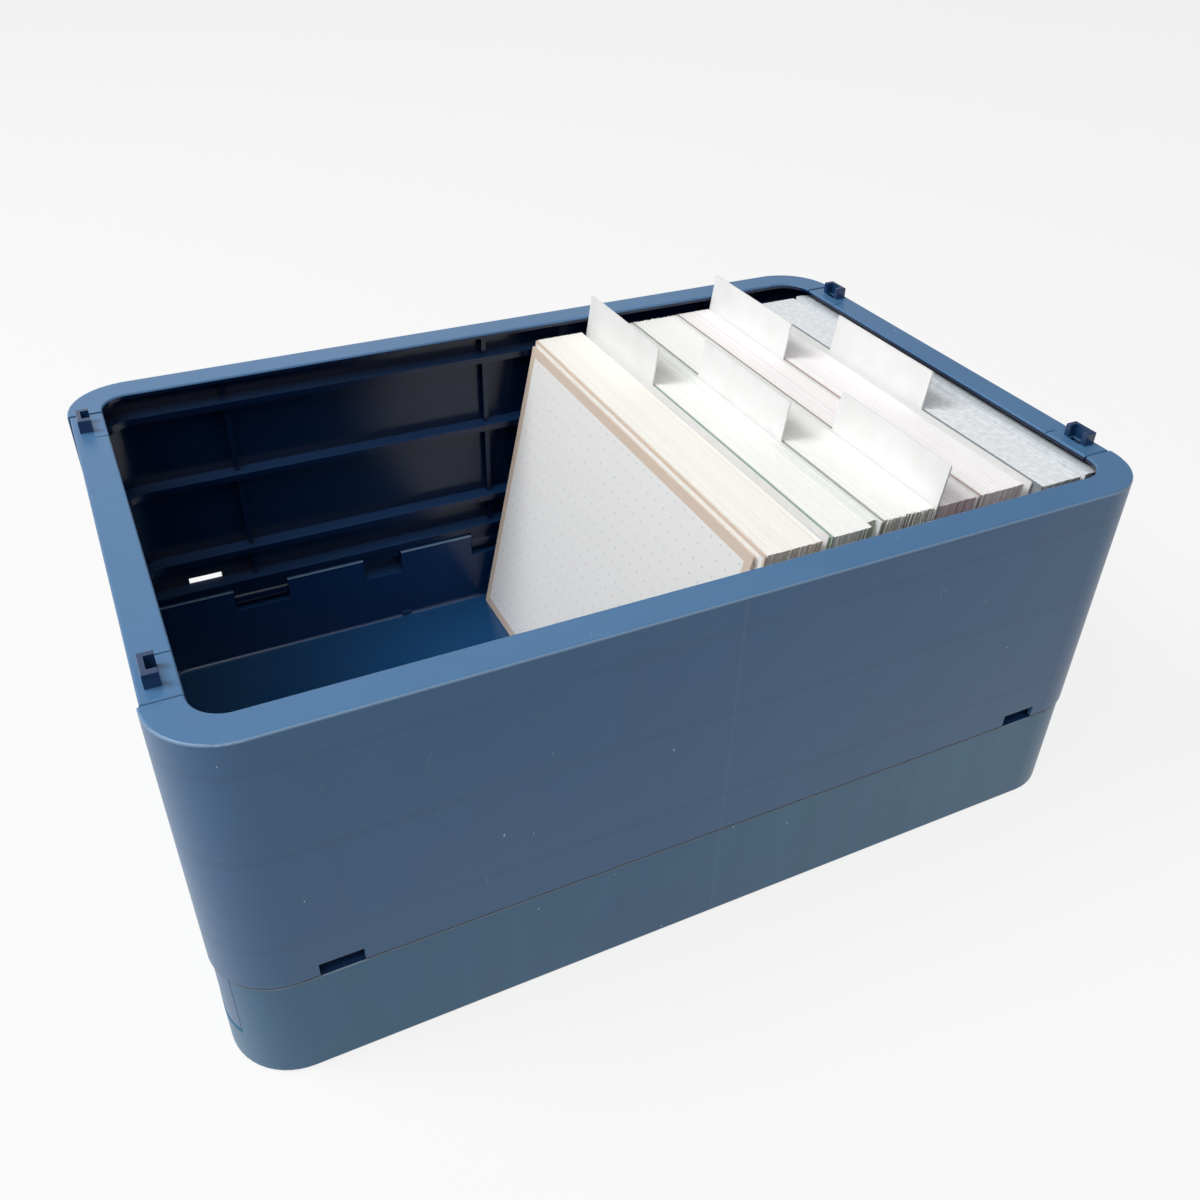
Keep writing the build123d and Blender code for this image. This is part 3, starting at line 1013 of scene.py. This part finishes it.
@dataclass
class Studio:
    """A plain pale floor, soft light from above on the left, and the camera of the photograph."""

    eye_mm: tuple[float, float, float] = (-129.1, -268.0, 271.4)
    aim_mm: tuple[float, float, float] = (1.34, -8.71, 60.0)
    roll_deg: float = 1.43
    lens_mm: float = 34.27
    sensor_mm: float = 36.0
    near_clip_m: float = 0.01
    floor_half_m: float = 6.0
    target_m: tuple[float, float, float] = (0.0, 0.0, 0.08)
    key_m: tuple[float, float, float] = (-0.95, 0.26, 1.22)
    key_watts: float = 12.5
    key_size_m: float = 0.6
    fill_m: tuple[float, float, float] = (-0.675, -0.60, 1.28)
    fill_watts: float = 9.1
    fill_size_m: float = 1.3
    sky_strength: float = 0.28
    floor_hex: str = "#FBFBFB"
    bounce_hex: str = "#747474"
    backdrop_hex: str = "#FAFAFA"
    shadow_share: float = 0.15
    dim_strength: float = 0.2
    dim_from_deg: tuple[float, float] = (14.0, 20.0)
    dim_towards: tuple[float, float] = (0.25, 0.65)

    def place_camera(self) -> None:
        """Stand the camera where the photograph was taken from."""
        data = bpy.data.cameras.new("camera")
        data.lens = self.lens_mm
        data.sensor_width = self.sensor_mm
        data.clip_start = self.near_clip_m
        camera = bpy.data.objects.new("camera", data)
        eye = Vector(self.eye_mm) * MM
        look = (Vector(self.aim_mm) * MM - eye).to_track_quat("-Z", "Y").to_matrix().to_4x4()
        roll = Matrix.Rotation(math.radians(self.roll_deg), 4, "Z")
        camera.matrix_world = Matrix.Translation(eye) @ look @ roll
        bpy.context.scene.collection.objects.link(camera)
        bpy.context.scene.camera = camera

    @staticmethod
    def seen_rays(tree: Tree) -> Socket:
        """Tell the rays that show the backdrop, straight or in a reflection, from those that carry light.

        Args:
            tree: The node tree that asks.

        Returns:
            A socket that is one for camera, glossy and transmission rays.
        """
        rays = add_node(tree, "ShaderNodeLightPath").outputs
        shown = rays["Is Camera Ray"]
        for kind in ("Is Glossy Ray", "Is Transmission Ray"):
            shown = add_node(
                tree, "ShaderNodeMath", {0: shown, 1: rays[kind]}, operation="MAXIMUM"
            ).outputs[0]
        return shown

    def lay_floor(self) -> None:
        """Lay a floor that shows as pale paper with a faint shadow, and that throws less light back up."""
        half = self.floor_half_m
        mesh = bpy.data.meshes.new("floor")
        corners = [(-half, -half, 0), (half, -half, 0), (half, half, 0), (-half, half, 0)]
        mesh.from_pydata(corners, [], [(0, 1, 2, 3)])
        floor = bpy.data.objects.new("floor", mesh)
        bpy.context.scene.collection.objects.link(floor)
        material, tree = new_material("floor_paper")
        shown = self.seen_rays(tree)
        white = linear(self.floor_hex)
        glow = add_node(tree, "ShaderNodeEmission", {"Color": white})
        paper = add_node(tree, "ShaderNodeBsdfDiffuse", {"Color": white})
        seen = add_node(
            tree, "ShaderNodeMixShader", {0: self.shadow_share, 1: glow.outputs[0], 2: paper.outputs[0]}
        )
        bounce = add_node(tree, "ShaderNodeBsdfDiffuse", {"Color": linear(self.bounce_hex)})
        surface = add_node(tree, "ShaderNodeMixShader", {0: shown, 1: bounce.outputs[0], 2: seen.outputs[0]})
        add_node(tree, "ShaderNodeOutputMaterial", {"Surface": surface.outputs[0]})
        mesh.materials.append(material)

    def hang_lamp(self, name: str, place: tuple[float, float, float], watts: float, size: float) -> None:
        """Hang one square soft lamp that faces the box.

        Args:
            name: The lamp's name.
            place: Where it hangs, in metres.
            watts: Its power.
            size: The length of its side, in metres.
        """
        data = bpy.data.lights.new(name, "AREA")
        data.size = size
        data.energy = watts
        lamp = bpy.data.objects.new(name, data)
        turn = (Vector(self.target_m) - Vector(place)).to_track_quat("-Z", "Y").to_matrix().to_4x4()
        lamp.matrix_world = Matrix.Translation(place) @ turn
        bpy.context.scene.collection.objects.link(lamp)

    def light(self) -> None:
        """Hang one lamp behind the box and one in front of it, both high on the left, under an even sky."""
        self.hang_lamp("key", self.key_m, self.key_watts, self.key_size_m)
        self.hang_lamp("fill", self.fill_m, self.fill_watts, self.fill_size_m)
        world = bpy.data.worlds.new("sky")
        bpy.context.scene.world = world
        world.use_nodes = True
        tree = world.node_tree
        tree.nodes.clear()
        # The pale backdrop gives way to a dimmer room high up on the right, which the rim there mirrors
        ray = add_node(tree, "ShaderNodeTexCoord").outputs["Generated"]
        way = add_node(tree, "ShaderNodeSeparateXYZ", {0: ray})
        low, high = (math.sin(math.radians(angle)) for angle in self.dim_from_deg)
        upward = add_node(
            tree, "ShaderNodeMapRange", {"Value": way.outputs["Z"], "From Min": low, "From Max": high}
        )
        start, full = self.dim_towards
        rightward = add_node(
            tree, "ShaderNodeMapRange", {"Value": way.outputs["X"], "From Min": start, "From Max": full}
        )
        dim = add_node(
            tree, "ShaderNodeMath", {0: upward.outputs[0], 1: rightward.outputs[0]}, operation="MULTIPLY"
        )
        backdrop = add_node(
            tree, "ShaderNodeMapRange", {"Value": dim.outputs[0], "To Min": 1.0, "To Max": self.dim_strength}
        )
        strength = add_node(
            tree, "ShaderNodeMapRange",
            {"Value": self.seen_rays(tree), "To Min": self.sky_strength, "To Max": backdrop.outputs[0]},
        )
        sky = add_node(
            tree, "ShaderNodeBackground",
            {"Color": linear(self.backdrop_hex), "Strength": strength.outputs[0]},
        )
        add_node(tree, "ShaderNodeOutputWorld", {"Surface": sky.outputs[0]})

    def build(self) -> None:
        """Set the camera, floor, light and view."""
        self.place_camera()
        self.lay_floor()
        self.light()
        bpy.context.scene.view_settings.view_transform = "Standard"


def make_box() -> MouldedBox:
    """Describe the finishes of the moulded box.

    Returns:
        The tray and walls with their finishes.
    """
    ribs_mm = (49.6, 78.9, 105.3)
    # Navy polypropylene from an etched mould: a satin slate blue outside, and near black inside as painted
    # shade, with a seam edge in painted shadow
    long_walls = MouldedPlastic(
        "moulded_polypropylene_long_wall", "#45719D", "#4B77A1", "#071A38",
        inside_depth_mm=1.2, inside_heights_mm=(0.0, 114.0), seam_shadow_heights_mm=(0.0, 35.8),
        dust_share=0.8, sink_levels_mm=ribs_mm,
    )
    # The same plastic on the end walls: no painted seam shadow, and hooks in a painted shade a little paler
    # than the inside
    end_walls = replace(
        long_walls, name="moulded_polypropylene_end_wall",
        seam_shadow_heights_mm=NOWHERE_MM, painted_light_band_heights_mm=long_walls.hook_heights_mm,
    )
    # The tray's melt flows further, so its outside is greener and streaked; its floor is paler as painted
    # light from above, and its top edge is a painted highlight with painted seam shadow above it
    tray = MouldedPlastic(
        "moulded_polypropylene_tray", "#3B6F9A", "#4A81A0", "#0A2B55",
        inside_depth_mm=0.9, inside_heights_mm=(4.0, 60.0), seam_shadow_heights_mm=(34.3, 60.0),
        dust_share=1.0, painted_light_band_heights_mm=(33.8, 34.65), painted_light_band_hex="#7D95AB",
        floor_heights_mm=(5.0, 6.0), streak_strength=0.14,
    )
    return MouldedBox(long_walls, end_walls, tray)


def make_card_file() -> CardFile:
    """Describe the stack from front to back.

    Returns:
        The cards, packs and dividers with their finishes.
    """
    packs = [
        # Cream book card cut on a guillotine: warm tops, and tan near ends where the print bleeds off
        StackOfCards("card_pack_1", CutCards(
            "guillotined_cream_card", "#FDFBF6", "#F9F3EA",
            ((0.0, "#F6F1E8"), (0.72, "#F2ECE1"), (0.85, "#F3E4CF"), (1.0, "#E8D6BE"))), seed=10),
        # White card with green print that bleeds off: a dark green line at the front, painted shadow of the
        # gap behind the divider in the print's green, and greener ends at the back
        StackOfCards("card_pack_2", CutCards(
            "guillotined_green_print_card", "#FDFDFB", "#F6F8F4",
            ((0.0, "#6E8069"), (0.05, "#EEF2EC"), (0.55, "#E6EBE4"), (0.7, "#C9D3C7"), (1.0, "#B4C0B2")),
            gap_shadow_hex="#A5BAA9"), seed=20),
        # White card cut singly, with olive print: ends of uneven length, with painted shade that alternates
        # light and dark
        StackOfCards("card_pack_3", CutCards(
            "hand_cut_olive_print_card", "#FDFDFA", "#F8F9F5",
            ((0.0, "#D9DCD2"), (0.3, "#E8EBE2"), (0.55, "#C2C6BA"), (1.0, "#DDE0D6")),
            gap_shadow_hex="#B0B5B0", end_shade_contrast=0.6), side_jitter_mm=0.5, seed=30),
        # White card with mauve print that bleeds off: rosy lines in the top and mauve ends
        StackOfCards("card_pack_4", CutCards(
            "guillotined_mauve_print_card", "#FDFAFA", "#F8EDEF",
            ((0.0, "#E3CFD2"), (0.5, "#DFC3C9"), (1.0, "#D6BAC1")),
            gap_shadow_hex="#B6B0AB", end_shade_contrast=0.35), seed=40),
        # The same card with less print: paler lines and ends
        StackOfCards("card_pack_5", CutCards(
            "guillotined_pale_mauve_card", "#FDFBFB", "#F9F2F3",
            ((0.0, "#F1E8E9"), (0.6, "#EFE4E7"), (1.0, "#E6D7DC")), gap_shadow_hex="#C0B0AB"), seed=50),
        # Grey recycled card: coarse flecks of fibre in the top, and dull ends that darken to the back,
        # painted shade under the end wall's rim
        StackOfCards("card_pack_6", CutCards(
            "guillotined_recycled_card", "#F4F7FA", "#ECF1F5",
            ((0.0, "#D3DBDD"), (0.4, "#BFC8CA"), (0.75, "#8E989A"), (1.0, "#768082")),
            gap_shadow_hex="#9AA1A6", end_shade_contrast=0.35, fleck=0.30, fibre_mm=1.8), seed=60),
        # Pale green card, cut a little short: a soft green tint all over
        StackOfCards("short_cards", CutCards(
            "guillotined_pale_green_card", "#F8FAF6", "#EEF2EC",
            ((0.0, "#D9E3D5"), (1.0, "#B5C4B1")), line_share=0.2), seed=70),
        # Recycled card against the end wall, darker as painted shade under the rim: the same flecks on a
        # greyer top
        StackOfCards("rear_cards", CutCards(
            "guillotined_shaded_recycled_card", "#EBF0F4", "#D2DAE0",
            ((0.0, "#8C9698"), (1.0, "#5E686A")), line_share=0.25, fleck=0.30, fibre_mm=1.8),
            lean=REAR_LEAN, seed=80),
    ]
    places = (TabPlace.FAR, TabPlace.MIDDLE, TabPlace.NEAR, TabPlace.FAR, TabPlace.MIDDLE)
    dividers = [Sheet(f"tab_divider_{number}", tab=place) for number, place in enumerate(places, start=1)]
    # Offset print lies flat in the uncoated paper: matt white with pale dots and a tan border
    printed = []
    for node, lean, border_mm in (("dot_grid_card", FRONT_LEAN, 3.2), ("tan_border_card", STACK_LEAN, 0.9)):
        low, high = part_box(node)
        finish = PrintedCard(
            f"offset_printed_{node}", paper_hex="#FDFDFC", border_hex="#E6D3C2", dot_hex="#DDE0E4",
            length_m=high[1] - low[1], border_mm=border_mm,
        )
        printed.append((Sheet(node, lean=lean), finish))
    # Calendered board is pressed smooth: an even white with a soft sheen and hardly any mottling
    board = SmoothBoard("calendered_divider_board", "#F4F4F4", "#EFEFEE")
    return CardFile(tuple(packs), tuple(dividers), board, tuple(printed))


def main() -> None:
    """Build the studio and the object."""
    logging.basicConfig(level=logging.INFO, format="%(name)s: %(message)s")
    Studio().build()
    make_box().dress()
    make_card_file().build()


if __name__ == "__main__":
    main()
